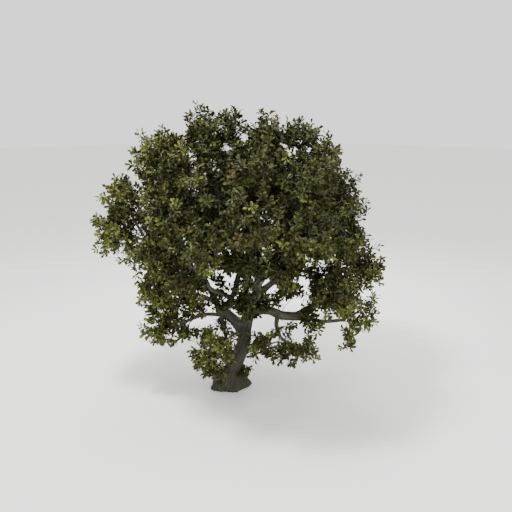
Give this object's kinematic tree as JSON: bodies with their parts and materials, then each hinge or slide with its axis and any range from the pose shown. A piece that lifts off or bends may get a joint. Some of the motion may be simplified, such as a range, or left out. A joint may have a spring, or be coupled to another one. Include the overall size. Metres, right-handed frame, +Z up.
{
  "type": "oak tree",
  "caption": "Broad oak tree rooted in the ground, with a short leaning trunk, spreading boughs and a full rounded crown of leaves.",
  "frame": {"origin": "middle of the flat cut under the trunk, at ground level", "axes": "+Z up, +X along the crown's long side (to the right in the picture), +Y away from the picture's viewer"},
  "size_m": [11.1655, 10.5053, 10.6967],
  "materials": {
    "bark": "rough grey-brown bark, mossy at the foot",
    "leaves": "matt olive-green leaves with a few yellow-green and orange-brown ones"
  },
  "bodies": {
    "root": {"back_left_bough": "bark", "back_mid_bough": "bark", "back_right_bough": "bark", "far_left_bough": "bark", "foliage_back_left": "leaves", "foliage_back_left_out": "leaves", "foliage_back_mid": "leaves", "foliage_back_right": "leaves", "foliage_back_right_out": "leaves", "foliage_back_top": "leaves", "foliage_far_left": "leaves", "foliage_far_right": "leaves", "foliage_foot": "leaves", "foliage_front_fork": "leaves", "foliage_front_left": "leaves", "foliage_front_left_out": "leaves", "foliage_front_low": "leaves", "foliage_front_mid": "leaves", "foliage_front_right": "leaves", "foliage_front_right_up": "leaves", "foliage_front_top": "leaves", "foliage_left_front": "leaves", "foliage_left_low": "leaves", "foliage_left_mid": "leaves", "foliage_left_shoulder": "leaves", "foliage_left_side": "leaves", "foliage_left_upper": "leaves", "foliage_pendant": "leaves", "foliage_right_drooping": "leaves", "foliage_right_low": "leaves", "foliage_right_mid": "leaves", "foliage_right_shoulder": "leaves", "foliage_right_side": "leaves", "foliage_right_upper": "leaves", "foliage_top_left": "leaves", "foliage_top_mid": "leaves", "foliage_top_mid_right": "leaves", "foliage_top_right": "leaves", "foliage_under_left": "leaves", "foliage_under_right": "leaves", "foliage_upper_front_left": "leaves", "foliage_upper_left": "leaves", "front_left_bough": "bark", "front_low_bough": "bark", "front_mid_bough": "bark", "front_right_bough": "bark", "leader_left": "bark", "leader_mid": "bark", "leader_right": "bark", "left_bough": "bark", "low_left_bough": "bark", "mid_left_bough": "bark", "pendant_bough": "bark", "right_bough": "bark", "right_out_bough": "bark", "right_side_bough": "bark", "right_up_bough": "bark", "trunk": "bark", "under_bough": "bark", "up_left_bough": "bark"}
  },
  "joints": []
}
